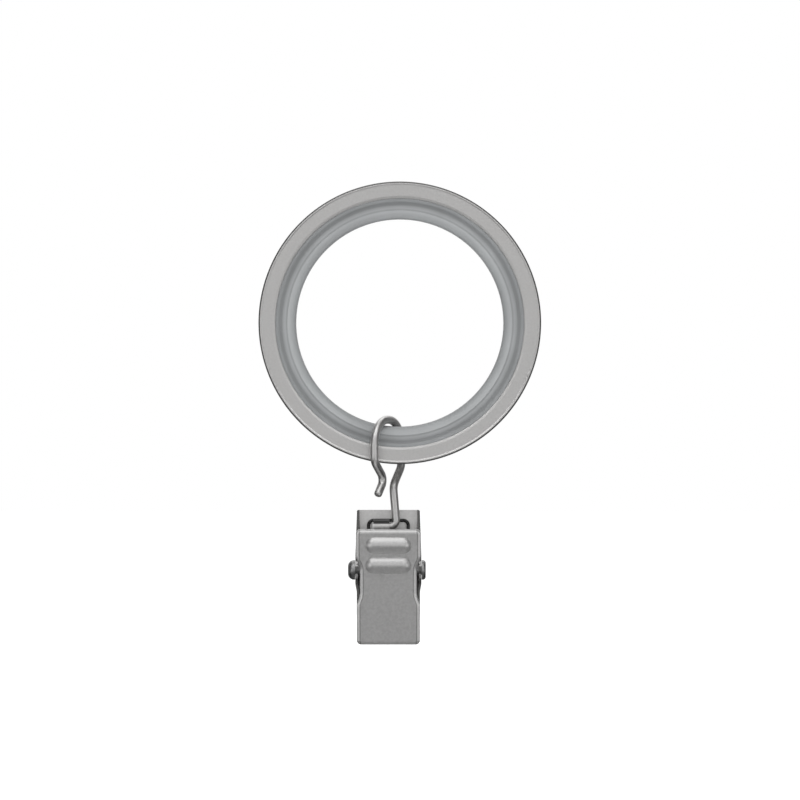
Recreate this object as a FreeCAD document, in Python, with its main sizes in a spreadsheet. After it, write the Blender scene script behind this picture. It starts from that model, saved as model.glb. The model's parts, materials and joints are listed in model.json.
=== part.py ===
"""Curtain ring with a hanging spring clip, as a parametric document.

Frame: origin at the centre of the ring, the ring's axis along Y, +Z up. The
front of the clip faces -Y. Lengths are in millimetres. The clip's pieces are
drawn about the middle of their pivot pin and then placed under the ring.
"""
import FreeCAD, Part
import math
import os
import Sketcher
from enum import IntEnum

Vec = FreeCAD.Vector

DIMENSIONS = [
    # Metal ring, a rolled channel that is open towards the rod
    ("ring_depth", "6.4"),
    ("ring_face_width", "3.1"),
    ("ring_sheet", "0.8"),
    ("ring_edge_round", "0.5"),
    ("ring_lip_round", "0.25"),
    # Plastic liner seated in the channel
    ("bore_radius", "19.0"),
    ("liner_face_width", "3.77"),
    ("liner_gap", "0.05"),
    ("bead_height", "1.6"),
    ("bead_round", "1.5"),
    ("bead_recess", "1.0"),
    ("bead_step", "0.26"),
    ("groove_depth", "0.5"),
    ("groove_set", "0.6"),
    ("groove_round", "0.8"),
    # Wire hook; rises and drops are measured from the lowest point of the ring
    ("wire_diameter", "1.5"),
    ("hook_play", "0.25"),
    ("hook_seat", "0.5"),
    ("hook_shift", "2.2"),
    ("hook_skew", "2.45"),
    ("arch_flat", "0.5"),
    ("knee_rise", "0.5"),
    ("knee_round", "2.2"),
    ("elbow_drop", "2.78"),
    ("elbow_set", "1.35"),
    ("elbow_round", "1.6"),
    ("tail_drop", "5.75"),
    ("tail_set", "3.75"),
    ("tail_round", "0.45"),
    ("heel_drop", "0.5"),
    ("heel_round", "2.0"),
    ("neck_drop", "4.03"),
    ("neck_offset", "0.88"),
    ("neck_round", "3.0"),
    ("shank_offset", "1.5"),
    ("foot_round", "1.25"),
    # Clip as a whole
    ("clip_shift", "2.1"),
    ("clip_drop", "19.43"),
    ("jaw_sheet", "0.45"),
    ("jaw_half_width", "5.8"),
    ("jaw_foot", "13.7"),
    ("lip_gap", "0.06"),
    ("lip_depth", "1.04"),
    ("flange_gap", "0.15"),
    ("bend_round", "0.7"),
    ("corner_margin", "0.1"),
    ("waist_round", "2.5"),
    # Front jaw
    ("front_top", "7.55"),
    ("front_spread", "4.3"),
    ("front_top_lip", "1.3"),
    ("handle_flare", "0.15"),
    ("front_flange_ahead", "2.0"),
    ("front_ear_radius", "1.5"),
    ("waist_inset", "0.6"),
    ("shoulder_run", "1.55"),
    ("waist_rise", "0.55"),
    ("waist_drop", "4.5"),
    ("hip_run", "1.7"),
    ("rib_upper_rise", "4.7"),
    ("rib_lower_rise", "1.05"),
    ("rib_length", "8.4"),
    ("rib_width", "3.0"),
    ("rib_height", "0.75"),
    # Back jaw
    ("back_top", "10.95"),
    ("back_top_inset", "0.08"),
    ("rim_round", "0.3"),
    ("back_spread", "3.9"),
    ("back_bend_rise", "3.0"),
    ("back_bend_round", "6.0"),
    ("back_flange_behind", "2.0"),
    ("back_ear_radius", "1.6"),
    ("ear_play", "0.42"),
    ("ear_reach", "2.6"),
    ("cheek_drop", "4.0"),
    ("knuckle_rise", "7.95"),
    ("tongue_length", "3.75"),
    ("slot_gap", "0.05"),
    ("knuckle_play", "0.08"),
    ("shank_gap", "0.2"),
    ("knuckle_left", "2.8"),
    ("knuckle_right", "0.2"),
    ("knuckle_wrap", "200"),
    # Pivot pin
    ("pin_radius", "0.9"),
    ("pin_play", "0.04"),
    ("head_radius", "1.8"),
    ("head_thickness", "1.3"),
    ("head_round", "1.1"),
    ("upset_thickness", "0.75"),
    ("upset_round", "0.5"),
    ("head_gap", "0.04"),
    # Torsion spring
    ("spring_wire", "0.6"),
    ("spring_pitch", "0.65"),
    ("spring_turns", "2"),
    ("coil_play", "0.15"),
    ("leg_gap", "0.05"),
    ("loop_gap", "0.07"),
    ("loop_half_width", "3.65"),
    ("loop_round", "0.9"),
    ("leg_knee_rise", "3.5"),
    ("leg_knee_round", "2.0"),
    ("toe_rise", "2.87"),
    ("toe_length", "1.1"),
    ("toe_round", "0.75"),
]

# Blanks and cutters reach this far past the solid that they shape
MARGIN = 1.0
FAR = 30.0
# Edges are told apart to this distance
NEAR = 1e-3
# The back jaw's rounded bend leaves its two flat faces by no more than this
BEND_SLACK = 0.05
# Turns Z to X, X to Y and Y to Z, so that a cylinder lies across the clip
ACROSS = FreeCAD.Rotation(Vec(1, 1, 1), 120)


class Sketched(IntEnum):
    """How a sketch's constraints name its axes and the two ends of a line."""

    V_AXIS = -2
    H_AXIS = -1
    START = 1
    END = 2


# A sketch's origin is the start of its horizontal axis
ORIGIN = (Sketched.H_AXIS, Sketched.START)


class Size:
    """A length that knows its present number and the expression it comes from."""

    def __init__(self, number, text):
        self.number = number
        self.text = text

    def __add__(self, other):
        other = size(other)
        return Size(self.number + other.number, f"({self.text} + {other.text})")

    def __sub__(self, other):
        other = size(other)
        return Size(self.number - other.number, f"({self.text} - {other.text})")

    def __mul__(self, other):
        other = size(other)
        return Size(self.number * other.number, f"({self.text} * {other.text})")

    def __truediv__(self, other):
        other = size(other)
        return Size(self.number / other.number, f"({self.text} / {other.text})")

    def __neg__(self):
        return Size(-self.number, f"(0 - {self.text})")


def size(value):
    """The value as a Size; a bare number stands for itself."""
    if isinstance(value, Size):
        return value
    return Size(float(value), repr(float(value)))


class Dimensions:
    """The sheet's cells by name, each as a Size."""

    def __init__(self, document, cells):
        sheet = document.addObject("Spreadsheet::Sheet", "dims")
        for row, (alias, number) in enumerate(cells, 1):
            sheet.set(f"A{row}", alias.replace("_", " "))
            sheet.set(f"B{row}", number)
            sheet.setAlias(f"B{row}", alias)
        document.recompute()
        for alias, _ in cells:
            setattr(self, alias, Size(float(sheet.get(alias)), f"dims.{alias}"))


doc = FreeCAD.newDocument("curtain_ring_with_clip")
dim = Dimensions(doc, DIMENSIONS)


def ring_lip():
    """Inner radius of the ring's flat face."""
    return dim.bore_radius + dim.liner_face_width


def ring_outer():
    """Outer radius of the ring."""
    return ring_lip() + dim.ring_face_width


def front_half_width():
    """From the clip's middle to the edge of the front handle."""
    return dim.jaw_half_width + dim.handle_flare


def waist_half_width():
    """From the clip's middle to the outside of the front jaw's ears."""
    return dim.jaw_half_width - dim.waist_inset


def shoulder_rise():
    """Height above the pin at which the front handle has its full width."""
    return dim.waist_rise + dim.shoulder_run


def hip_drop():
    """Depth below the pin at which the front jaw has its full width again."""
    return dim.waist_drop + dim.hip_run


def ear_half_width():
    """From the clip's middle to the outside of the back jaw's ears."""
    return waist_half_width() + dim.ear_play + dim.jaw_sheet


def corner_round():
    """Radius of a corner of the clip seen from the front; a bend runs round it."""
    return dim.bend_round + dim.corner_margin


def clip_origin():
    """The middle of the pivot pin, in the part's frame."""
    return -dim.clip_shift, -(ring_outer() + dim.clip_drop)


def knuckle_bore():
    """Inner radius of the knuckle that holds the hook's foot."""
    return dim.wire_diameter / 2 + dim.knuckle_play


def loop_depth():
    """How far the spring's loop, which lies on the back handle, is behind the pin's axis."""
    return dim.back_spread - dim.jaw_sheet - dim.leg_gap - dim.spring_wire / 2


def knuckle_depth():
    """How far the knuckle's axis lies behind the pin's; the hook passes ahead of the loop."""
    return loop_depth() - dim.spring_wire / 2 - dim.shank_gap - dim.wire_diameter / 2


def bind(item, **sizes):
    """Ties properties to sizes; Base_x and the like stand for the placement."""
    for name, value in sizes.items():
        if name.startswith("Base_"):
            name = "Placement.Base." + name[-1]
        item.setExpression(name, size(value).text)


def hold(sketch, line, kind, offset, axis):
    """Fixes one coordinate of a line's start, from the sketch's origin."""
    offset = size(offset)
    if offset.number == 0:
        sketch.addConstraint(Sketcher.Constraint("PointOnObject", line, Sketched.START, axis))
        return
    if offset.number > 0:
        ends = (*ORIGIN, line, Sketched.START)
    else:
        ends = (line, Sketched.START, *ORIGIN)
        offset = -offset
    index = sketch.addConstraint(Sketcher.Constraint(kind, *ends, offset.number))
    sketch.setExpression(f"Constraints[{index}]", offset.text)


def add_loop(sketch, points):
    """A closed outline of straight lines whose corners are held by sizes."""
    first = sketch.GeometryCount
    count = len(points)
    corners = [Vec(size(x).number, size(y).number) for x, y in points]
    for index in range(count):
        sketch.addGeometry(Part.LineSegment(corners[index], corners[(index + 1) % count]))
    for index, (x, y) in enumerate(points):
        before, line = first + (index - 1) % count, first + index
        joint = Sketcher.Constraint("Coincident", before, Sketched.END, line, Sketched.START)
        sketch.addConstraint(joint)
        hold(sketch, line, "DistanceX", x, Sketched.V_AXIS)
        hold(sketch, line, "DistanceY", y, Sketched.H_AXIS)


def add_sketch(body, role, name, *loops):
    """A sketch on one of the body's own origin planes."""
    sketch = body.newObject("Sketcher::SketchObject", name)
    plane = next(item for item in body.Origin.OriginFeatures if item.Role == role)
    sketch.AttachmentSupport = [(plane, "")]
    sketch.MapMode = "FlatFace"
    for loop in loops:
        add_loop(sketch, loop)
    return sketch


def round_edges(body, base, name, radius, wanted):
    """A fillet on every edge of the base that the test picks."""
    doc.recompute()
    names = [f"Edge{number}" for number, edge in enumerate(base.Shape.Edges, 1) if wanted(edge)]
    fillet = body.newObject("PartDesign::Fillet", name)
    fillet.Base = (base, names)
    bind(fillet, Radius=radius)
    return fillet


def turned_edge(*places):
    """Picks circles by radius and distance from the middle of a turned piece."""

    def wanted(edge):
        if not isinstance(edge.Curve, Part.Circle):
            return False
        centre = edge.Curve.Center
        found = (edge.Curve.Radius, centre.Length)
        return any(math.dist(found, place) < NEAR for place in places)

    return wanted


def turned_place(radius, offset):
    """The numbers by which turned_edge knows an edge."""
    return size(radius).number, size(offset).number


def revolved(body, role, axis, outline):
    """A full turn of the outline about one of its sketch's axes."""
    sketch = add_sketch(body, role, body.Name + "_outline", outline)
    turn = body.newObject("PartDesign::Revolution", body.Name + "_turn")
    turn.Profile = sketch
    turn.ReferenceAxis = (sketch, [axis])
    turn.Angle = 360
    return turn


def mirrored(points):
    """The half outline and its reflection in the second coordinate, as one loop."""
    return [*points, *((x, -size(y)) for x, y in reversed(points))]


def make_ring():
    """Channel of sheet steel with a flat face on each side."""
    body = doc.addObject("PartDesign::Body", "metal_ring")
    outer, lip = ring_outer(), ring_lip()
    face = dim.ring_depth / 2
    inside = face - dim.ring_sheet
    web = outer - dim.ring_sheet
    half = [(outer, face), (lip, face), (lip, inside), (web, inside)]
    turn = revolved(body, "XY_Plane", "V_Axis", mirrored(half))
    rim = round_edges(body, turn, "rim_round", dim.ring_edge_round,
                      turned_edge(turned_place(outer, face)))
    round_edges(body, rim, "lip_round", dim.ring_lip_round,
                turned_edge(turned_place(lip, face), turned_place(lip, inside)))
    return body


def make_liner():
    """Bead that runs on the rod, grooved flanks and a stem in the ring's channel."""
    body = doc.addObject("PartDesign::Body", "glide_liner")
    lip = ring_lip()
    stem = ring_outer() - dim.ring_sheet - dim.liner_gap
    stem_side = dim.ring_depth / 2 - dim.ring_sheet - dim.liner_gap
    bead = dim.bore_radius + dim.bead_height
    bead_side = dim.ring_depth / 2 - dim.bead_recess
    flank = bead_side - dim.bead_step
    groove = lip - dim.groove_set
    half = [
        (dim.bore_radius, bead_side),
        (bead, bead_side),
        (bead, flank),
        (groove, flank - dim.groove_depth),
        (lip - dim.liner_gap, stem_side),
        (stem, stem_side),
    ]
    turn = revolved(body, "XY_Plane", "V_Axis", mirrored(half))
    shoulders = round_edges(body, turn, "bead_round", dim.bead_round,
                            turned_edge(turned_place(dim.bore_radius, bead_side)))
    round_edges(body, shoulders, "groove_round", dim.groove_round,
                turned_edge(turned_place(groove, flank - dim.groove_depth)))
    return body


def bent_runs(points, radii):
    """Straight runs through the points, joined by a tangent arc at each inner one."""
    edges = []
    start = points[0]
    for before, corner, after, radius in zip(points, points[1:], points[2:], radii):
        back = (before - corner).normalize()
        ahead = (after - corner).normalize()
        half_angle = back.getAngle(ahead) / 2
        reach = radius / math.tan(half_angle)
        inward = (back + ahead).normalize()
        middle = corner + inward * (radius / math.sin(half_angle) - radius)
        arc = Part.Arc(corner + back * reach, middle, corner + ahead * reach)
        edges.append(Part.LineSegment(start, corner + back * reach).toShape())
        edges.append(arc.toShape())
        start = corner + ahead * reach
    edges.append(Part.LineSegment(start, points[-1]).toShape())
    return edges


def drawn_wire(edges, diameter):
    """A round wire along the edges."""
    first = edges[0]
    start = first.valueAt(first.FirstParameter)
    along = first.tangentAt(first.FirstParameter)
    section = Part.Wire(Part.Circle(start, along, diameter / 2).toShape())
    return Part.Wire(edges).makePipeShell([section], True, False)


def end_circles(shape, *points):
    """The flat end edges of a wire that lie round the given points."""
    found = []
    for edge in shape.Edges:
        on_end = isinstance(edge.Curve, Part.Circle)
        if on_end and any(edge.Curve.Center.distanceToPoint(point) < NEAR for point in points):
            found.append(edge)
    return found


def make_hook():
    """One bent wire: tail, elbow, arch over the ring, shank and foot."""
    clip_x, clip_z = (place.number for place in clip_origin())
    ring_foot = -ring_outer().number
    wire = dim.wire_diameter.number
    leg = dim.ring_depth.number / 2 + dim.hook_play.number + wire / 2
    skew = dim.hook_skew.number
    sideways = Vec(skew, leg, 0).normalize()
    middle = Vec(-dim.hook_shift.number, 0, 0)
    arch = -dim.bore_radius.number + wire / 2 + dim.hook_seat.number
    arch_round = math.hypot(skew, leg) - dim.arch_flat.number / 2
    front = middle - Vec(skew, leg, 0)
    rear = middle + Vec(skew, leg, 0)
    depth = knuckle_depth().number
    foot_z = clip_z + dim.knuckle_rise.number

    def at_height(point, z):
        return Vec(point.x, point.y, z)

    points = [
        at_height(middle - sideways * dim.tail_set.number, ring_foot - dim.tail_drop.number),
        at_height(middle - sideways * dim.elbow_set.number, ring_foot - dim.elbow_drop.number),
        at_height(front, ring_foot + dim.knee_rise.number),
        at_height(front, arch),
        at_height(rear, arch),
        at_height(rear, ring_foot - dim.heel_drop.number),
        Vec(clip_x + dim.neck_offset.number, depth, ring_foot - dim.neck_drop.number),
        Vec(clip_x + dim.shank_offset.number, depth, foot_z),
        Vec(clip_x - dim.knuckle_left.number, depth, foot_z),
    ]
    radii = [
        dim.elbow_round.number,
        dim.knee_round.number,
        arch_round,
        arch_round,
        dim.heel_round.number,
        dim.neck_round.number,
        dim.foot_round.number,
    ]
    shape = drawn_wire(bent_runs(points, radii), wire)
    hook = doc.addObject("Part::Feature", "wire_hook")
    hook.Shape = shape.makeFillet(dim.tail_round.number, end_circles(shape, points[0], points[-1]))
    hook.Placement = FreeCAD.Placement()
    return hook


def along_depth(*heights):
    """Picks edges that run along Y at one of the heights."""
    levels = [size(height).number for height in heights]

    def wanted(edge):
        ends = [vertex.Point for vertex in edge.Vertexes]
        if len(ends) != 2 or math.dist(ends[0][::2], ends[1][::2]) > NEAR:
            return False
        return any(abs(ends[0].z - level) < NEAR for level in levels)

    return wanted


def samples(edge):
    """Points at the start, middle and end of an edge."""
    first, last = edge.ParameterRange
    return [edge.valueAt(first + share * (last - first)) for share in (0, 0.5, 1)]


def padded_side(name, side, width):
    """A body with the side outline drawn out to both sides of the clip's middle."""
    body = doc.addObject("PartDesign::Body", name)
    pad = body.newObject("PartDesign::Pad", name + "_pad")
    pad.Profile = add_sketch(body, "YZ_Plane", name + "_side", side)
    pad.SideType = "Symmetric"
    bind(pad, Length=width * 2)
    return body, pad


def trim(body, outline):
    """Cuts away all that lies outside the outline seen from the front."""
    frame = [(-FAR, -FAR), (FAR, -FAR), (FAR, FAR), (-FAR, FAR)]
    loop = [*outline, *((-size(x), z) for x, z in reversed(outline))]
    pocket = body.newObject("PartDesign::Pocket", body.Name + "_trim")
    pocket.Profile = add_sketch(body, "XZ_Plane", body.Name + "_front", frame, loop)
    pocket.Type = "ThroughAll"
    pocket.SideType = "Symmetric"
    return pocket


def front_face(z):
    """Outer face of the front jaw ahead of the pin, as a depth at a height."""
    lean = (dim.front_spread - dim.lip_gap - dim.lip_depth) / (dim.front_top + dim.jaw_foot)
    return -dim.front_spread + lean * (dim.front_top - z)


def back_face(z):
    """Outer face of the back jaw below its bend, as a depth at a height."""
    lean = (dim.back_spread - dim.lip_gap - dim.lip_depth) / (dim.back_bend_rise + dim.jaw_foot)
    return dim.back_spread - lean * (dim.back_bend_rise - z)


def front_outline(inset):
    """Right half of the front jaw seen from the front, drawn in by the inset."""
    return [
        (dim.jaw_half_width - inset, -dim.jaw_foot - MARGIN),
        (dim.jaw_half_width - inset, -hip_drop()),
        (waist_half_width() - inset, -dim.waist_drop),
        (waist_half_width() - inset, dim.waist_rise),
        (front_half_width() - inset, shoulder_rise()),
        (front_half_width() - inset, dim.front_top + MARGIN),
    ]


def front_solid(name, side, inset, top, foot):
    """Blank or core of the front jaw, with its bends rounded."""
    inset = size(inset)
    body, _ = padded_side(name, side, front_half_width() + MARGIN)
    plan = trim(body, front_outline(inset))
    waist = round_edges(body, plan, name + "_waist", dim.waist_round,
                        along_depth(-hip_drop(), -dim.waist_drop, dim.waist_rise, shoulder_rise()))
    corners = round_edges(body, waist, name + "_corners", corner_round() - inset,
                          along_depth(top, foot))

    def on_face(edge):
        return all(abs(point.y - front_face(point.z).number - inset.number) < NEAR
                   for point in samples(edge))

    round_edges(body, corners, name + "_bends", dim.bend_round - inset, on_face)
    return body


def across(name, radius, left, right, y, z):
    """A cylinder across the clip between two offsets from its middle."""
    cylinder = doc.addObject("Part::Cylinder", name)
    cylinder.Placement.Rotation = ACROSS
    bind(cylinder, Radius=radius, Height=size(right) - left, Base_x=left, Base_y=y, Base_z=z)
    return cylinder


def fuse(name, *items):
    """One solid from several."""
    joined = doc.addObject("Part::MultiFuse", name)
    joined.Shapes = list(items)
    joined.Refine = True
    return joined


def cut(name, base, tool):
    """The base less the tool."""
    less = doc.addObject("Part::Cut", name)
    less.Base = base
    less.Tool = tool
    return less


def rib(name, radius, depth, z):
    """A bar with ball ends, lying in the front jaw's face."""
    reach = (dim.rib_length - dim.rib_width) / 2
    y = front_face(z) + depth
    pieces = [across(name + "_bar", radius, -reach, reach, y, z)]
    for side, x in (("left", -reach), ("right", reach)):
        ball = doc.addObject("Part::Sphere", f"{name}_{side}")
        bind(ball, Radius=radius, Base_x=x, Base_y=y, Base_z=z)
        pieces.append(ball)
    return pieces


def pin_hole(name):
    """Cutter for the pin's holes through both ears."""
    return across(name, dim.pin_radius + dim.pin_play, -FAR, FAR, 0, 0)


def in_clip(item):
    """Puts a piece drawn about the pin in its place under the ring."""
    x, z = clip_origin()
    bind(item, Base_x=x, Base_z=z)
    return item


def make_front_jaw():
    """Pressed tray with a top lip, two ribs, a waist with ears and a gripping lip."""
    sheet = dim.jaw_sheet
    top, foot = dim.front_top, -dim.jaw_foot
    side = [
        (-dim.front_spread, top),
        (front_face(foot), foot),
        (-dim.lip_gap, foot),
        (-dim.flange_gap, -dim.front_ear_radius - MARGIN),
        (0, -dim.front_ear_radius),
        (0, -dim.front_ear_radius / 2),
        (-dim.front_flange_ahead, shoulder_rise() + MARGIN),
        (-dim.front_spread + dim.front_top_lip, top),
    ]
    blank = front_solid("front_blank", side, 0, top, foot)
    inside = [
        (front_face(top - sheet) + sheet, top - sheet),
        (front_face(foot + sheet) + sheet, foot + sheet),
        (FAR, foot + sheet),
        (FAR, top - sheet),
    ]
    core = front_solid("front_core", inside, sheet, top - sheet, foot + sheet)
    ears = across("front_ears", dim.front_ear_radius, -waist_half_width(), waist_half_width(), 0, 0)
    radius = (dim.rib_width * dim.rib_width / 4 + dim.rib_height * dim.rib_height) / (dim.rib_height * 2)
    raised, hollow = [], []
    for place, z in (("upper", dim.rib_upper_rise), ("lower", dim.rib_lower_rise)):
        raised += rib(f"{place}_rib", radius, radius - dim.rib_height, z)
        hollow += rib(f"{place}_rib_hollow", radius - sheet, radius - dim.rib_height, z)
    full = fuse("front_full", blank, ears, *raised)
    tools = fuse("front_tools", core, pin_hole("front_pin_hole"), *hollow)
    return in_clip(cut("front_jaw", full, tools))


def back_outline(inset):
    """Right half of the back jaw seen from the front, drawn in by the inset."""
    ear = ear_half_width()
    return [
        (dim.jaw_half_width - inset, -dim.jaw_foot - MARGIN),
        (dim.jaw_half_width - inset, -dim.cheek_drop),
        (ear - inset, -dim.ear_reach),
        (ear - inset, dim.ear_reach),
        (dim.jaw_half_width - dim.back_top_inset - inset, dim.back_top + MARGIN * 2),
    ]


def back_solid(name, side, inset, foot):
    """Blank or core of the back jaw, with its bends rounded."""
    inset = size(inset)
    bend_z = dim.back_bend_rise.number
    body, pad = padded_side(name, side, dim.jaw_half_width + MARGIN * 2)

    def on_bend(edge):
        return all(abs(point.z - bend_z) < NEAR and point.y > 0 for point in samples(edge))

    round_edges(body, pad, name + "_bend", dim.back_bend_round, on_bend)
    plan = trim(body, back_outline(inset))
    cheeks = round_edges(body, plan, name + "_cheeks", dim.waist_round,
                         along_depth(-dim.cheek_drop, -dim.ear_reach, dim.ear_reach))
    corners = round_edges(body, cheeks, name + "_corners", corner_round() - inset, along_depth(foot))

    def on_side_bend(edge):
        points = samples(edge)
        straight = dim.back_spread.number
        depths = [min(straight, back_face(point.z).number) - inset.number for point in points]
        on_face = all(abs(point.y - depth) < BEND_SLACK for point, depth in zip(points, depths))
        at_side = abs(points[1].x) > dim.jaw_half_width.number / 2
        at_foot = abs(points[1].z - size(foot).number) < NEAR
        return on_face and (at_side or at_foot)

    bends = round_edges(body, corners, name + "_bends", dim.bend_round - inset, on_side_bend)
    return body, bends


def make_knuckle():
    """Tongue that leans forward from the slot's foot and is rolled over the hook's foot."""
    bore = knuckle_bore()
    place = dict(left=-dim.knuckle_left, right=dim.knuckle_right, y=knuckle_depth(), z=dim.knuckle_rise)
    roll = across("knuckle_roll", bore + dim.jaw_sheet, **place)
    bind(roll, Angle=dim.knuckle_wrap)
    shell = cut("knuckle_shell", roll, across("knuckle_bore", bore, **place))
    sheet = dim.jaw_sheet
    outside, roll_outside = dim.back_spread, knuckle_depth() + bore + sheet
    slot_foot = dim.knuckle_rise - dim.tongue_length
    side = [
        (outside, slot_foot - sheet),
        (outside, slot_foot),
        (roll_outside, dim.knuckle_rise),
        (roll_outside - sheet, dim.knuckle_rise),
        (outside - sheet, slot_foot),
        (outside - sheet, slot_foot - sheet),
    ]
    tongue, _ = padded_side("knuckle_tongue", side, (dim.knuckle_left + dim.knuckle_right) / 2)
    bind(tongue, Base_x=(dim.knuckle_right - dim.knuckle_left) / 2)
    return [tongue, shell]


def make_back_jaw():
    """Pressed handle with a slot and knuckle, ears outside the front jaw's, and a lip."""
    sheet = dim.jaw_sheet
    top, foot = dim.back_top, -dim.jaw_foot
    side = [
        (dim.back_spread, top),
        (dim.back_spread, dim.back_bend_rise),
        (back_face(foot), foot),
        (dim.lip_gap, foot),
        (dim.flange_gap, -dim.back_ear_radius - MARGIN),
        (0, -dim.back_ear_radius),
        (0, dim.back_ear_radius),
        (dim.back_flange_behind, dim.back_ear_radius),
        (dim.back_flange_behind, dim.knuckle_rise - dim.tongue_length),
        (dim.back_spread - dim.front_top_lip, top),
    ]
    blank, bends = back_solid("back_blank", side, 0, foot)
    round_edges(blank, bends, "back_rim", dim.rim_round, along_depth(top))
    inside = [
        (dim.back_spread - sheet, top + MARGIN),
        (dim.back_spread - sheet, dim.back_bend_rise),
        (back_face(foot + sheet) - sheet, foot + sheet),
        (-FAR, foot + sheet),
        (-FAR, top + MARGIN),
    ]
    core, _ = back_solid("back_core", inside, sheet, foot + sheet)
    ear = ear_half_width()
    ears = across("back_ears", dim.back_ear_radius, -ear, ear, 0, 0)
    slot = doc.addObject("Part::Box", "slot")
    over_roll = knuckle_bore() + sheet + dim.slot_gap
    bind(slot, Length=dim.knuckle_left + dim.knuckle_right + dim.slot_gap * 2, Width=dim.back_spread,
         Height=dim.tongue_length + over_roll, Base_x=-dim.knuckle_left - dim.slot_gap,
         Base_y=dim.back_flange_behind, Base_z=dim.knuckle_rise - dim.tongue_length)
    full = fuse("back_full", blank, ears)
    tools = fuse("back_tools", core, slot, pin_hole("back_pin_hole"))
    return in_clip(fuse("back_jaw", cut("back_shell", full, tools), *make_knuckle()))


def make_pin():
    """Rivet with a domed head on the left and a flatter, upset one on the right."""
    body = doc.addObject("PartDesign::Body", "pivot_pin")
    seat = ear_half_width() + dim.head_gap
    left, right = seat + dim.head_thickness, seat + dim.upset_thickness
    outline = [
        (-left, 0),
        (-left, dim.head_radius),
        (-seat, dim.head_radius),
        (-seat, dim.pin_radius),
        (seat, dim.pin_radius),
        (seat, dim.head_radius),
        (right, dim.head_radius),
        (right, 0),
    ]
    turn = revolved(body, "XY_Plane", "H_Axis", outline)
    domed = round_edges(body, turn, "head_round", dim.head_round,
                        turned_edge(turned_place(dim.head_radius, left)))
    round_edges(body, domed, "upset_round", dim.upset_round,
                turned_edge(turned_place(dim.head_radius, right)))
    return in_clip(body)


def leg_touch(end_y, end_z, radius, side):
    """Angle at which a leg to the given end leaves a coil of that radius, below the pin."""
    reach = math.hypot(end_y, end_z)
    return math.atan2(end_z, end_y) - side * math.acos(radius / reach)


def make_spring():
    """Two coils on the pin; one loop joins them on the back handle, two toes lie on the front jaw."""
    wire = dim.spring_wire.number
    radius = dim.pin_radius.number + dim.coil_play.number + wire / 2
    pitch = dim.spring_pitch.number
    loop_y, knee_z = loop_depth().number, dim.leg_knee_rise.number
    roll = knuckle_bore().number + dim.jaw_sheet.number
    clear = roll + wire / 2 + dim.loop_gap.number
    loop_z = dim.knuckle_rise.number + math.sqrt(clear ** 2 - (loop_y - knuckle_depth().number) ** 2)
    toe_z = dim.toe_rise.number
    toe_y = front_face(toe_z).number + dim.jaw_sheet.number + dim.leg_gap.number + wire / 2
    leaves = leg_touch(loop_y, knee_z, radius, 1)
    joins = leg_touch(toe_y, toe_z, radius, -1) - 2 * math.pi
    turns = dim.spring_turns.number + (leaves - joins) / (2 * math.pi)
    drift = pitch / (2 * math.pi * radius)
    leg_run = math.sqrt(loop_y ** 2 + knee_z ** 2 - radius ** 2)
    toe_run = math.sqrt(toe_y ** 2 + toe_z ** 2 - radius ** 2)
    leg_x = -dim.loop_half_width.number
    outer_x = leg_x + drift * leg_run
    inner_x = outer_x + pitch * turns
    toe_x = inner_x + drift * toe_run

    def on_coil(x, angle):
        return Vec(x, radius * math.cos(angle), radius * math.sin(angle))

    coil = Part.makeHelix(pitch, pitch * turns, radius, 0, True)
    coil.rotate(Vec(), Vec(0, 0, 1), math.degrees(leaves))
    coil.Placement = FreeCAD.Placement(Vec(outer_x, 0, 0), ACROSS).multiply(coil.Placement)
    leg = [
        Vec(0, loop_y, loop_z),
        Vec(leg_x, loop_y, loop_z),
        Vec(leg_x, loop_y, knee_z),
        on_coil(outer_x, leaves),
    ]
    toe = [
        on_coil(inner_x, joins),
        Vec(toe_x, toe_y, toe_z),
        Vec(toe_x + dim.toe_length.number, toe_y, toe_z),
    ]
    path = [
        *bent_runs(leg, [dim.loop_round.number, dim.leg_knee_round.number]),
        *coil.Edges,
        *bent_runs(toe, [dim.toe_round.number]),
    ]
    half = drawn_wire(path, wire)
    spring = doc.addObject("Part::Feature", "torsion_spring")
    spring.Shape = half.fuse(half.mirror(Vec(), Vec(1, 0, 0))).removeSplitter()
    return in_clip(spring)


NODES = [
    make_ring(),
    make_liner(),
    make_hook(),
    make_back_jaw(),
    make_front_jaw(),
    make_pin(),
    make_spring(),
]
doc.recompute()

for item in doc.Objects:
    if "Invalid" in item.State or "Error" in item.State:
        raise RuntimeError(f"{item.Name} failed: {item.State}")
for node in NODES:
    if node.Shape.isNull() or not node.Shape.isValid():
        raise RuntimeError(f"{node.Name} has no valid shape")
    if len(node.Shape.Solids) != 1:
        raise RuntimeError(f"{node.Name} is {len(node.Shape.Solids)} solids")

os.makedirs("parts", exist_ok=True)
for node in NODES:
    node.Label = node.Name
    node.Shape.exportStep(f"parts/{node.Label}.step")
    print(f"{node.Label}: {node.Shape.Volume:.1f} mm3, {len(node.Shape.Faces)} faces")
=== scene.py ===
"""Curtain ring with clip: finishes, turned ring, spring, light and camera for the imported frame."""
import json
import math

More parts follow.
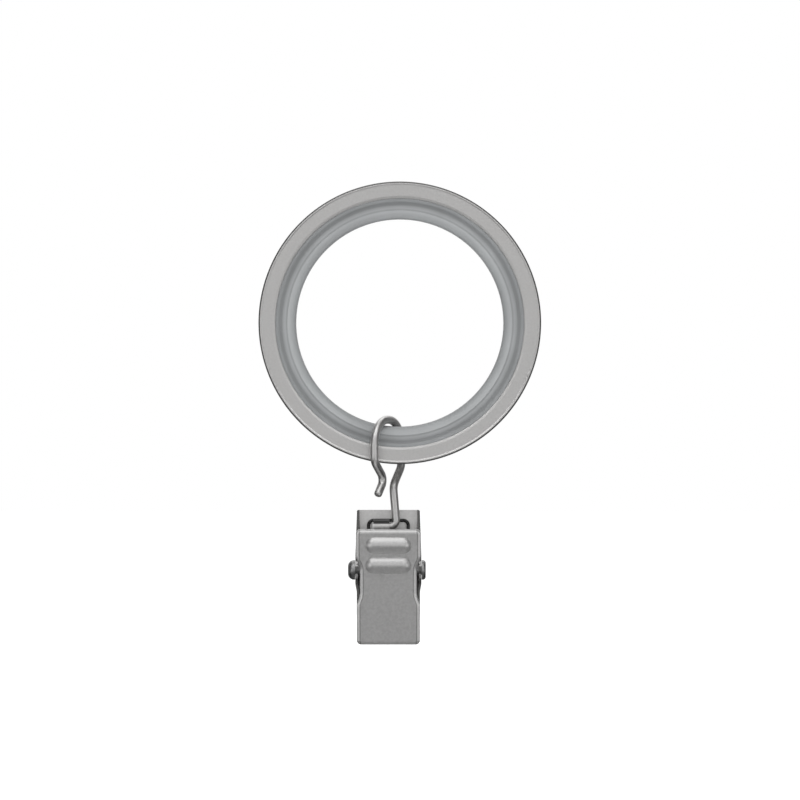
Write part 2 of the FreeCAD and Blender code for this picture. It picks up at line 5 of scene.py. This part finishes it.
import bmesh
import bpy
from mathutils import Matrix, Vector


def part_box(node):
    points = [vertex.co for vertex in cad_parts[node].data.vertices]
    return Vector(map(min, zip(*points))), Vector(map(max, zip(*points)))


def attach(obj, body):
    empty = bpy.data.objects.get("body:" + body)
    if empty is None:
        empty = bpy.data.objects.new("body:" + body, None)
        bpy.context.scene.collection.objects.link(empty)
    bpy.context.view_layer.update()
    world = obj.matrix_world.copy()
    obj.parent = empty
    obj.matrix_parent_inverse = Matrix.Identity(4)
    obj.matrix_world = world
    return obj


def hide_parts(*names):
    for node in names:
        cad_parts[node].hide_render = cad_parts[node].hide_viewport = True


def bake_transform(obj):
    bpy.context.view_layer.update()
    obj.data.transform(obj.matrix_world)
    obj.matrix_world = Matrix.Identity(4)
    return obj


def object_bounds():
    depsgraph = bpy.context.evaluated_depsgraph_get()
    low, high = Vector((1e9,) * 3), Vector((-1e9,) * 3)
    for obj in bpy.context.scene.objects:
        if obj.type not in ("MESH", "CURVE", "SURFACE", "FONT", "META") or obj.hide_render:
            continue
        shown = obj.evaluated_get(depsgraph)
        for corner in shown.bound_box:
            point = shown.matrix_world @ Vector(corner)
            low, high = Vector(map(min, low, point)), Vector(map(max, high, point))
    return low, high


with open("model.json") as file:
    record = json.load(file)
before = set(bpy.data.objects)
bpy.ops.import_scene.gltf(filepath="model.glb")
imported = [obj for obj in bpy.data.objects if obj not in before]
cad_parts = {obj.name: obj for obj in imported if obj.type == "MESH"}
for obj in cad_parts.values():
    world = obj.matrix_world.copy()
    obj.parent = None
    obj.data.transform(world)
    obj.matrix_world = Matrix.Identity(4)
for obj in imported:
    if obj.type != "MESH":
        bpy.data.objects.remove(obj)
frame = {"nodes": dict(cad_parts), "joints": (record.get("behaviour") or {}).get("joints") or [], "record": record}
cad_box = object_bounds()
pivot = Vector(next(joint for joint in frame["joints"] if joint["name"] == "jaw_open")["pos_m"])

MM = 0.001
SHADER = "Principled BSDF"
WHITE = (1.0, 1.0, 1.0, 1.0)

# Framing: the image is square, and the ring's bore gives its scale
IMAGE_SIDE = 800
BORE_PIXELS = 207.7
RING_CENTRE_PIXEL = (399.8, 322.8)
CAMERA_DISTANCE = 1.1

# The middle of a noise, where most of its values lie
NOISE_LOW = 0.35
NOISE_HIGH = 0.65

# Silver lacquers: darkest and lightest display level, warmth, roughness, and flakes per metre
RING_LACQUER = (183, 189, 0.01, 0.42, 2600.0)
CLIP_LACQUER = (192, 202, 0.005, 0.38, 2200.0)
BACK_LACQUER = (204, 214, 0.01, 0.38, 2200.0)
# All lacquers: share of metal, clear coat, how far flakes vary the roughness, and their relief
LACQUER_METAL = 0.85
COAT_WEIGHT = 0.15
COAT_ROUGHNESS = 0.3
FLAKE_DETAIL = 3.0
FLAKE_SMOOTHER = 0.04
FLAKE_ROUGHER = 0.05
FLAKE_DEPTH = 0.01 * MM
FLAKE_STRENGTH = 0.25

# Bare steels: darkest and lightest display level, warmth and roughness
WIRE_STEEL = (212, 224, 0.01, 0.38)
RIVET_STEEL = (166, 174, 0.0, 0.42)
SPRING_STEEL = (62, 74, 0.0, 0.28)
# Spots on all steels, and how far they vary the roughness
SPOTS_PER_METRE = 1500.0
SPOT_DETAIL = 4.0
SPOT_FINENESS = 0.6
SPOT_SMOOTHER = 0.05
SPOT_ROUGHER = 0.07

# Display level of the liner's plastic at distances from the ring's axis, with a thin parting line.
# The levels also paint shade and light: a dark line at the bore's edge, a dark band where the thin
# flange lies over the dark channel, which is partly the channel showing through and partly painted
# shade of the groove by the lip, and painted light on the shaded stem next to the lip
LINER_TONE_AND_SHADE_LEVELS = [
    (18.9 * MM, 104),
    (19.4 * MM, 126),
    (19.9 * MM, 129),
    (20.3 * MM, 134),
    (20.6 * MM, 136),
    (20.72 * MM, 126),
    (20.85 * MM, 129),
    (21.0 * MM, 137),
    (21.4 * MM, 126),
    (21.65 * MM, 110),
    (22.05 * MM, 108),
    (22.4 * MM, 131),
    (22.8 * MM, 131),
]
# What green and blue add to that level, the plastic's finish, and how milky it is
LINER_GREEN_LIFT = 2
LINER_BLUE_LIFT = 3
LINER_ROUGHNESS = 0.32
LINER_IOR = 1.5
LINER_HAZE = 0.1
LINER_HAZE_DEPTH = 0.4 * MM
# Clouds in the plastic, and the share of its colour that is left in them
CLOUDS_PER_METRE = 90.0
CLOUD_DETAIL = 2.0
CLOUD_SHARE = 0.88

# The ring as turned: its face lies a little below a bead at the rim and ends in a bevelled lip
RIM_ROUND = 0.36 * MM
RING_SHEET = 0.8 * MM
FACE_DROP = 0.1 * MM
BEAD_SLOPE = 0.3 * MM
BEVEL_RUN = 0.25 * MM
BEVEL_DROP = 0.1 * MM
LIP_ROUND = 0.2 * MM
# Short steps beside the edges keep their shading narrow
EDGE_HOLD = 0.05 * MM
# Steps of a round in the section, and of the whole turn
ARC_STEPS = 8
RING_STEPS = 256
# Painted shade on the rounded rim, a thin dark line: where it starts, how much it faces along the axis,
# which the outer wall doesn't, and the share of colour left
RIM_LINE = 25.6 * MM
RIM_FACING = 0.15
RIM_SHADE_SHARE = 0.22

# Painted shade on the front edges of the back jaw's flanges: distance from the clip's middle, how they face,
# colour left
FLANGE_INSIDE = 5.25 * MM
EDGE_FACING = 0.9
EDGE_SHADE_SHARE = 0.2
# Painted shade on the crown of the knuckle: in front of the handle's face, between two heights above the pin,
# colour left
HANDLE_FACE = 3.3 * MM
CROWN_START = 8.3 * MM
CROWN_FULL = 8.5 * MM
CROWN_SHADE_SHARE = 0.08
# Bends along the front jaw's sides: distance from the clip's middle, how far they turn as shaded,
# and the turns between which a dark crease line of painted shade runs
BEND_INSIDE = 4.3 * MM
BEND_TURN = 0.3
CREASE_START = 0.03
CREASE_END = 0.25
CREASE_SHADE_SHARE = 0.6

# The spring's coils, out from the middle of the clip, and its loop, back from the pin
LOOP_START = 1.75 * MM

FLOOR_SIDE = 8.0
FLOOR_DROP = 0.05
FLOOR_COLOUR = (0.95, 0.95, 0.95, 1.0)
FLOOR_GLOW = 0.2
# The point that all soft boxes face
LIT_POINT = Vector((0, 0, -0.015))
# Soft boxes: name, azimuth and elevation in degrees, distance and side in metres, brightness,
# and the only piece that a box lights
PANELS = [
    ("front_box", 0, 14, 1.7, 1.9, 0.67),
    ("high_box", -8, 58, 1.0, 0.7, 1.35),
    ("top_box", 0, 90, 0.9, 1.0, 0.45),
    ("left_key", -38, 36, 1.1, 0.35, 2.0),
    ("right_key", 38, 36, 1.1, 0.35, 2.0),
    ("left_box", -46, -6, 1.3, 0.68, 1.25),
    ("right_box", 46, -6, 1.3, 0.68, 1.25),
    ("lower_box", 5, -45, 0.9, 0.5, 0.1),
    ("under_box", 0, -88, 0.9, 1.2, 0.15),
    ("left_wall", -110, 0, 1.3, 1.2, 0.16),
    ("right_wall", 110, 0, 1.3, 1.2, 0.16),
    ("rear_box", 180, 12, 1.5, 2.6, 0.7),
    ("rear_high_box", 180, 62, 1.2, 0.9, 0.8),
    ("hook_box", 0, -50, 0.9, 0.8, 0.55, "wire_hook"),
    ("low_rim_box", 0, -50, 0.9, 0.8, 0.5, "turned_ring"),
    ("left_rim_box", -34, 36, 1.1, 0.4, 2.4, "turned_ring"),
    ("right_rim_box", 34, 36, 1.1, 0.4, 2.4, "turned_ring"),
]


def linear(level):
    """Linear light for a display level from 0 to 255, by the sRGB curve."""
    share = level / 255
    if share <= 0.04045:
        return share / 12.92
    return ((share + 0.055) / 1.055) ** 2.4


def grey(level, warmth):
    """A grey of a display level; warmth lifts red and lowers blue."""
    value = linear(level)
    return (value * (1 + warmth), value, value * (1 - warmth), 1.0)


def add_object(name, data):
    """A new object in the scene."""
    item = bpy.data.objects.new(name, data)
    bpy.context.scene.collection.objects.link(item)
    return item


def new_material(name):
    """A material with only its main shader and output."""
    material = bpy.data.materials.new(name)
    material.use_nodes = True
    return material, material.node_tree, material.node_tree.nodes[SHADER]


def add_noise(tree, scale, detail, fineness=0.5):
    """Noise in the part's own coordinates, in features per metre."""
    place = tree.nodes.new("ShaderNodeTexCoord")
    noise = tree.nodes.new("ShaderNodeTexNoise")
    noise.inputs["Scale"].default_value = scale
    noise.inputs["Detail"].default_value = detail
    noise.inputs["Roughness"].default_value = fineness
    tree.links.new(place.outputs["Object"], noise.inputs["Vector"])
    return noise.outputs["Fac"]


def add_range(tree, source, low, high, start=NOISE_LOW, end=NOISE_HIGH):
    """Maps a stretch of a source to a range of numbers."""
    mapped = tree.nodes.new("ShaderNodeMapRange")
    mapped.inputs["From Min"].default_value = start
    mapped.inputs["From Max"].default_value = end
    mapped.inputs["To Min"].default_value = low
    mapped.inputs["To Max"].default_value = high
    tree.links.new(source, mapped.inputs["Value"])
    return mapped.outputs["Result"]


def add_stops(tree, source, stops):
    """Colours at given values of a source, blended from each to the next."""
    first, last = stops[0][0], stops[-1][0]
    ramp = tree.nodes.new("ShaderNodeValToRGB")
    elements = ramp.color_ramp.elements
    while len(elements) < len(stops):
        elements.new(1.0)
    for element, (value, colour) in zip(elements, stops):
        element.position = (value - first) / (last - first)
        element.color = colour
    tree.links.new(add_range(tree, source, 0.0, 1.0, first, last), ramp.inputs["Fac"])
    return ramp.outputs["Color"]


def add_math(tree, operation, *values):
    """A sum or test of numbers and sockets."""
    node = tree.nodes.new("ShaderNodeMath")
    node.operation = operation
    for socket, value in zip(node.inputs, values):
        if isinstance(value, bpy.types.NodeSocket):
            tree.links.new(value, socket)
        else:
            socket.default_value = value
    return node.outputs["Value"]


def add_coordinates(tree, kind):
    """Coordinates in the part's own axes: of a point (Object) or of the way it faces (Normal)."""
    place = tree.nodes.new("ShaderNodeTexCoord")
    split = tree.nodes.new("ShaderNodeSeparateXYZ")
    tree.links.new(place.outputs[kind], split.inputs["Vector"])
    return split.outputs


def add_off_middle(tree, spot):
    """Distance of a point from the middle of the clip, to either side."""
    return add_math(tree, "ABSOLUTE", add_math(tree, "SUBTRACT", spot["X"], pivot.x))


def add_radius(tree):
    """Distance from the ring's axis, in metres."""
    place = tree.nodes.new("ShaderNodeTexCoord")
    flat = tree.nodes.new("ShaderNodeVectorMath")
    flat.operation = "MULTIPLY"
    flat.inputs[1].default_value = (1.0, 0.0, 1.0)
    length = tree.nodes.new("ShaderNodeVectorMath")
    length.operation = "LENGTH"
    tree.links.new(place.outputs["Object"], flat.inputs[0])
    tree.links.new(flat.outputs["Vector"], length.inputs[0])
    return length.outputs["Value"]


def add_bump(tree, shader, source, depth, strength):
    """Fine relief from a noise."""
    bump = tree.nodes.new("ShaderNodeBump")
    bump.inputs["Strength"].default_value = strength
    bump.inputs["Distance"].default_value = depth
    tree.links.new(source, bump.inputs["Height"])
    tree.links.new(bump.outputs["Normal"], shader.inputs["Normal"])


def mottle(tree, shader, noise, dark, light, smooth, rough):
    """Varies a material's colour and roughness with a noise."""
    colours = add_stops(tree, noise, [(NOISE_LOW, dark), (NOISE_HIGH, light)])
    tree.links.new(colours, shader.inputs["Base Color"])
    tree.links.new(add_range(tree, noise, smooth, rough), shader.inputs["Roughness"])


def darken(material, mask, share):
    """Scales a material's colour to the share where the mask is 1."""
    tree = material.node_tree
    shader = tree.nodes[SHADER]
    paint = shader.inputs["Base Color"].links[0].from_socket
    darker = tree.nodes.new("ShaderNodeVectorMath")
    darker.operation = "SCALE"
    tree.links.new(paint, darker.inputs["Vector"])
    tree.links.new(add_math(tree, "MULTIPLY_ADD", mask, share - 1.0, 1.0), darker.inputs["Scale"])
    tree.links.new(darker.outputs["Vector"], shader.inputs["Base Color"])


def silver_lacquer(name, dark, light, warmth, roughness, grain):
    """Silver paint: metal flakes seen through a thin clear coat."""
    material, tree, shader = new_material(name)
    shader.inputs["Metallic"].default_value = LACQUER_METAL
    shader.inputs["Coat Weight"].default_value = COAT_WEIGHT
    shader.inputs["Coat Roughness"].default_value = COAT_ROUGHNESS
    flakes = add_noise(tree, grain, FLAKE_DETAIL)
    mottle(tree, shader, flakes, grey(dark, warmth), grey(light, warmth),
           roughness - FLAKE_SMOOTHER, roughness + FLAKE_ROUGHER)
    add_bump(tree, shader, flakes, FLAKE_DEPTH, FLAKE_STRENGTH)
    return material


def drawn_steel(name, dark, light, warmth, roughness):
    """Bare satin steel with faint spots from forming."""
    material, tree, shader = new_material(name)
    shader.inputs["Metallic"].default_value = 1.0
    spots = add_noise(tree, SPOTS_PER_METRE, SPOT_DETAIL, SPOT_FINENESS)
    mottle(tree, shader, spots, grey(dark, warmth), grey(light, warmth),
           roughness - SPOT_SMOOTHER, roughness + SPOT_ROUGHER)
    return material


def liner_plastic(name):
    """Milky plastic; the thick bead is pale, and the dark channel shows through the thin flange, with painted
    shade at the bore's edge and by the lip, and painted light on the stem beside the lip.
    """
    material, tree, shader = new_material(name)
    shader.inputs["Roughness"].default_value = LINER_ROUGHNESS
    shader.inputs["IOR"].default_value = LINER_IOR
    shader.inputs["Subsurface Weight"].default_value = LINER_HAZE
    shader.inputs["Subsurface Radius"].default_value = (1.0, 1.0, 1.0)
    shader.inputs["Subsurface Scale"].default_value = LINER_HAZE_DEPTH
    stops = []
    for radius, level in LINER_TONE_AND_SHADE_LEVELS:
        green, blue = level + LINER_GREEN_LIFT, level + LINER_BLUE_LIFT
        stops.append((radius, (linear(level), linear(green), linear(blue), 1.0)))
    # These levels carry painted shade at the bore's edge and by the lip, and painted light beside the lip
    tree.links.new(add_stops(tree, add_radius(tree), stops), shader.inputs["Base Color"])
    clouds = add_noise(tree, CLOUDS_PER_METRE, CLOUD_DETAIL)
    darken(material, add_range(tree, clouds, 0.0, 1.0), CLOUD_SHARE)
    return material


def shade_rim_line(material):
    """Paints shade as a thin dark line along the ring's rounded rim."""
    tree = material.node_tree
    facing = add_coordinates(tree, "Normal")
    at_rim = add_math(tree, "GREATER_THAN", add_radius(tree), RIM_LINE)
    along = add_math(tree, "ABSOLUTE", facing["Y"])
    rounded = add_math(tree, "GREATER_THAN", along, RIM_FACING)
    darken(material, add_math(tree, "MULTIPLY", at_rim, rounded), RIM_SHADE_SHARE)


def shade_flange_edges_and_crown(material):
    """Paints shade on the back jaw: darker front edges of its flanges, and a darker crown on its knuckle."""
    tree = material.node_tree
    spot = add_coordinates(tree, "Object")
    facing = add_coordinates(tree, "Normal")
    off_middle = add_off_middle(tree, spot)
    # Painted shade on the flanges' front edges
    at_flange = add_math(tree, "GREATER_THAN", off_middle, FLANGE_INSIDE)
    to_front = add_math(tree, "LESS_THAN", facing["Y"], -EDGE_FACING)
    darken(material, add_math(tree, "MULTIPLY", at_flange, to_front), EDGE_SHADE_SHARE)
    # Painted shade on the knuckle's crown, in front of the handle
    inside = add_math(tree, "LESS_THAN", off_middle, FLANGE_INSIDE)
    ahead = add_math(tree, "LESS_THAN", spot["Y"], HANDLE_FACE)
    on_roll = add_math(tree, "MULTIPLY", inside, ahead)
    rise = add_math(tree, "SUBTRACT", spot["Z"], pivot.z)
    crown = add_range(tree, rise, 0.0, 1.0, CROWN_START, CROWN_FULL)
    darken(material, add_math(tree, "MULTIPLY", on_roll, crown), CROWN_SHADE_SHARE)


def flatten_bends(material):
    """Shades the front jaw's bent sides as flatter bevels, with a dark crease line of painted shade along their
    inner edge.
    """
    tree = material.node_tree
    spot = add_coordinates(tree, "Object")
    facing = add_coordinates(tree, "Normal")
    at_side = add_math(tree, "GREATER_THAN", add_off_middle(tree, spot), BEND_INSIDE)
    most = add_math(tree, "MULTIPLY_ADD", at_side, BEND_TURN - 1.0, 1.0)
    held = add_math(tree, "MINIMUM", facing["X"], most)
    held = add_math(tree, "MAXIMUM", held, add_math(tree, "MULTIPLY", most, -1.0))
    turned = tree.nodes.new("ShaderNodeCombineXYZ")
    for axis, source in (("X", held), ("Y", facing["Y"]), ("Z", facing["Z"])):
        tree.links.new(source, turned.inputs[axis])
    placed = tree.nodes.new("ShaderNodeVectorTransform")
    placed.vector_type = "NORMAL"
    placed.convert_from = "OBJECT"
    placed.convert_to = "WORLD"
    tree.links.new(turned.outputs["Vector"], placed.inputs["Vector"])
    relief = tree.nodes[SHADER].inputs["Normal"].links[0].from_node
    tree.links.new(placed.outputs["Vector"], relief.inputs["Normal"])
    # Painted shade: a dark crease line where each bend starts to turn
    turn = add_math(tree, "ABSOLUTE", facing["X"])
    begun = add_math(tree, "GREATER_THAN", turn, CREASE_START)
    early = add_math(tree, "LESS_THAN", turn, CREASE_END)
    crease = add_math(tree, "MULTIPLY", begun, early)
    darken(material, add_math(tree, "MULTIPLY", at_side, crease), CREASE_SHADE_SHARE)


def dress(node, material):
    """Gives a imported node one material."""
    materials = frame["nodes"][node].data.materials
    materials.clear()
    materials.append(material)


def arc(middle, radius, start, end):
    """Points on a round, as distances from the axis and from the ring's middle plane."""
    points = []
    for step in range(ARC_STEPS + 1):
        turn = math.radians(start + (end - start) * step / ARC_STEPS)
        points.append((middle[0] + radius * math.cos(turn), middle[1] + radius * math.sin(turn)))
    return points


def eased(start, end):
    """Points on a slope that starts and ends level."""
    points = []
    for step in range(ARC_STEPS + 1):
        run = step / ARC_STEPS
        fall = run * run * (3 - 2 * run)
        points.append((start[0] + (end[0] - start[0]) * run, start[1] + (end[1] - start[1]) * fall))
    return points


def ring_section(lip, outer, front):
    """Half of the ring's section, from the middle of its outer wall to the middle of its channel."""
    face = front - FACE_DROP
    crest = outer - RIM_ROUND
    bead = crest - BEAD_SLOPE
    bevel = lip + LIP_ROUND
    inside = front - RING_SHEET
    web = outer - RING_SHEET
    lip_top = face - BEVEL_DROP - LIP_ROUND
    return [
        (outer, 0.0),
        (outer, front - RIM_ROUND - EDGE_HOLD),
        *arc((crest, front - RIM_ROUND), RIM_ROUND, 0, 90),
        *eased((crest - EDGE_HOLD, front), (bead, face)),
        (bead - EDGE_HOLD, face),
        (bevel + BEVEL_RUN + EDGE_HOLD, face),
        (bevel + BEVEL_RUN, face),
        *arc((bevel, lip_top), LIP_ROUND, 90, 180),
        *arc((bevel, inside + LIP_ROUND), LIP_ROUND, 180, 270),
        (bevel + EDGE_HOLD, inside),
        (web - EDGE_HOLD, inside),
        (web, inside),
        (web, inside - EDGE_HOLD),
        (web, 0.0),
    ]


def turn_ring(name, material):
    """The ring with its bead and bevel, turned about the axis of its bore."""
    node = frame["nodes"]["metal_ring"]
    corners = [node.matrix_world @ vertex.co for vertex in node.data.vertices]
    lip = min(math.hypot(corner.x, corner.z) for corner in corners)
    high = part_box("metal_ring")[1]
    half = ring_section(lip, high.x, high.y)
    section = half + [(radius, -depth) for radius, depth in reversed(half[1:-1])]
    turned = bmesh.new()
    rows = []
    for step in range(RING_STEPS):
        turn = math.tau * step / RING_STEPS
        rows.append([turned.verts.new((radius * math.sin(turn), depth, radius * math.cos(turn)))
                     for radius, depth in section])
    for row, following in zip(rows, rows[1:] + rows[:1]):
        for place in range(len(section)):
            before = place - 1
            turned.faces.new((row[before], row[place], following[place], following[before]))
    bmesh.ops.recalc_face_normals(turned, faces=turned.faces)
    for face in turned.faces:
        face.smooth = True
    mesh = bpy.data.meshes.new(name)
    turned.to_mesh(mesh)
    turned.free()
    mesh.materials.append(material)
    ring = add_object(name, mesh)
    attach(ring, "ring")
    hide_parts("metal_ring")


def cut_spring(name, material, *planes):
    """A capped copy of the part of the spring that lies on the given sides of some planes."""
    whole = frame["nodes"]["torsion_spring"]
    mesh = whole.data.copy()
    mesh.transform(whole.matrix_world)
    kept = bmesh.new()
    kept.from_mesh(mesh)
    for point, kept_side in planes:
        bmesh.ops.bisect_plane(kept, geom=[*kept.verts, *kept.edges, *kept.faces], plane_co=point,
                               plane_no=kept_side, clear_inner=True)
        bmesh.ops.holes_fill(kept, edges=kept.edges)
    kept.to_mesh(mesh)
    kept.free()
    mesh.materials.clear()
    mesh.materials.append(material)
    piece = add_object(name, mesh)
    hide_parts("torsion_spring")
    return piece


def add_spring(material):
    """A stiff loop on the back handle, and two coils cut apart at the pin and baked in place; the real coils twist
    as the front jaw opens.
    """
    seam = pivot + Vector((0, LOOP_START, 0))
    loop = cut_spring("spring_loop", material, (seam, (0, 1, 0)))
    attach(loop, "back_half")
    for name, side in (("spring_left", -1), ("spring_right", 1)):
        coil = cut_spring(name, material, (seam, (0, -1, 0)), (pivot, (side, 0, 0)))
        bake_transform(coil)


def add_floor(level):
    """A wide pale floor below the hanging part; it stays out of the metal's reflections."""
    bpy.ops.mesh.primitive_plane_add(size=FLOOR_SIDE, location=(0, 0, level))
    floor = bpy.context.object
    floor.name = "floor"
    floor.visible_glossy = False
    floor.visible_shadow = False
    material, _, shader = new_material("pale_floor")
    shader.inputs["Base Color"].default_value = FLOOR_COLOUR
    shader.inputs["Roughness"].default_value = 1.0
    shader.inputs["Specular IOR Level"].default_value = 0.0
    shader.inputs["Emission Color"].default_value = WHITE
    shader.inputs["Emission Strength"].default_value = FLOOR_GLOW
    floor.data.materials.append(material)


def add_panel(name, azimuth, elevation, distance, side, brightness, only=None):
    """A square soft box that faces the part; azimuth 0 is in front, 90 on the right."""
    turn, lift = math.radians(azimuth), math.radians(elevation)
    flat = math.cos(lift)
    away = Vector((math.sin(turn) * flat, -math.cos(turn) * flat, math.sin(lift)))
    light = bpy.data.lights.new(name, "AREA")
    light.shape = "SQUARE"
    light.size = side
    light.energy = brightness * math.pi * side * side
    panel = add_object(name, light)
    panel.location = LIT_POINT + away * distance
    panel.rotation_euler = (-away).to_track_quat("-Z", "Y").to_euler()
    if only:
        lit = bpy.data.collections.new(f"lit_by_{name}")
        lit.objects.link(bpy.data.objects[only])
        panel.light_linking.receiver_collection = lit


def light_studio():
    """A white room that the metal doesn't mirror, and soft boxes that it does."""
    world = bpy.data.worlds.new("studio")
    world.use_nodes = True
    room = world.node_tree.nodes["Background"]
    room.inputs["Color"].default_value = WHITE
    room.inputs["Strength"].default_value = 1.0
    world.cycles_visibility.glossy = False
    bpy.context.scene.world = world
    for panel in PANELS:
        add_panel(*panel)


def add_camera():
    """A long lens straight in front, framed by the ring's place and size in the picture."""
    passage = next(mount for mount in frame["record"]["mounts"] if mount["name"] == "rod_passage")
    per_pixel = 2 * passage["dims"]["r_mm"] * MM / BORE_PIXELS
    half = IMAGE_SIDE / 2
    x = (half - RING_CENTRE_PIXEL[0]) * per_pixel
    z = (RING_CENTRE_PIXEL[1] - half) * per_pixel
    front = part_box("metal_ring")[0].y
    camera = bpy.data.cameras.new("camera")
    camera.sensor_fit = "HORIZONTAL"
    camera.lens = camera.sensor_width * CAMERA_DISTANCE / (IMAGE_SIDE * per_pixel)
    viewer = add_object("camera", camera)
    viewer.location = (x, front - CAMERA_DISTANCE, z)
    viewer.rotation_euler = (math.pi / 2, 0, 0)
    bpy.context.scene.camera = viewer


ring_paint = silver_lacquer("ring_lacquer", *RING_LACQUER)
# Painted shade: a thin dark line along the ring's rounded rim
shade_rim_line(ring_paint)
clip_paint = silver_lacquer("clip_lacquer", *CLIP_LACQUER)
flatten_bends(clip_paint)
back_paint = silver_lacquer("back_lacquer", *BACK_LACQUER)
# Painted shade on the back jaw's flange edges and on its knuckle's crown
shade_flange_edges_and_crown(back_paint)
turn_ring("turned_ring", ring_paint)
dress("glide_liner", liner_plastic("liner_plastic"))
dress("wire_hook", drawn_steel("satin_wire", *WIRE_STEEL))
dress("back_jaw", back_paint)
dress("front_jaw", clip_paint)
dress("pivot_pin", drawn_steel("rivet_steel", *RIVET_STEEL))
add_spring(drawn_steel("spring_steel", *SPRING_STEEL))
add_floor(cad_box[0][2] - FLOOR_DROP)
light_studio()
add_camera()
bpy.context.scene.view_settings.view_transform = "Standard"
